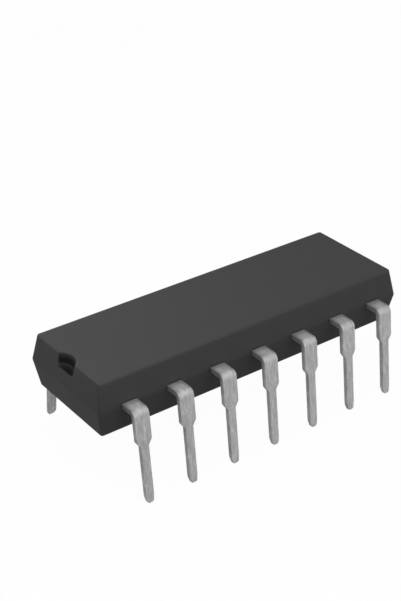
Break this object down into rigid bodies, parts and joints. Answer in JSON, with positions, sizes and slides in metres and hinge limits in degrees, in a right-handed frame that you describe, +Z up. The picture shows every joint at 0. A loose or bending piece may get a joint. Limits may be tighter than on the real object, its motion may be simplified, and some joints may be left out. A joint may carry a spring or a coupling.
{
  "type": "dual in-line integrated circuit",
  "caption": "Dual in-line integrated circuit: moulded dark body with an end notch, two rows of formed tin-plated leads, and its lead frame, chip and bond wires cast inside.",
  "frame": {"origin": "middle of the lead pattern, on the surface that the lead tips stand on", "axes": "+X along the body, away from the notched end; +Y across the body, towards leads 8 to 14; +Z up, from the lead tips to the top face"},
  "size_m": [0.0186, 0.0092, 0.0062],
  "materials": {
    "mould_compound": "dark grey filled epoxy with the fine, even spark-eroded grain of its mould",
    "tin_plate": "matt tin plate over stamped copper alloy, with faint lengthwise streaks",
    "frame_metal": "bare rolled copper alloy",
    "bonding_paste": "cured silver-filled paste",
    "silicon": "polished silicon with light metal bond pads",
    "bond_wire": "drawn gold wire"
  },
  "bodies": {
    "root": {"moulded_body": "mould_compound", "die_pad": "frame_metal", "die_attach": "bonding_paste", "die": "silicon", "lead_1": "tin_plate", "lead_2": "tin_plate", "lead_3": "tin_plate", "lead_4": "tin_plate", "lead_5": "tin_plate", "lead_6": "tin_plate", "lead_7": "tin_plate", "lead_8": "tin_plate", "lead_9": "tin_plate", "lead_10": "tin_plate", "lead_11": "tin_plate", "lead_12": "tin_plate", "lead_13": "tin_plate", "lead_14": "tin_plate", "bond_wire_1": "bond_wire", "bond_wire_2": "bond_wire", "bond_wire_3": "bond_wire", "bond_wire_4": "bond_wire", "bond_wire_5": "bond_wire", "bond_wire_6": "bond_wire", "bond_wire_7": "bond_wire", "bond_wire_8": "bond_wire", "bond_wire_9": "bond_wire", "bond_wire_10": "bond_wire", "bond_wire_11": "bond_wire", "bond_wire_12": "bond_wire", "bond_wire_13": "bond_wire", "bond_wire_14": "bond_wire"}
  },
  "joints": []
}
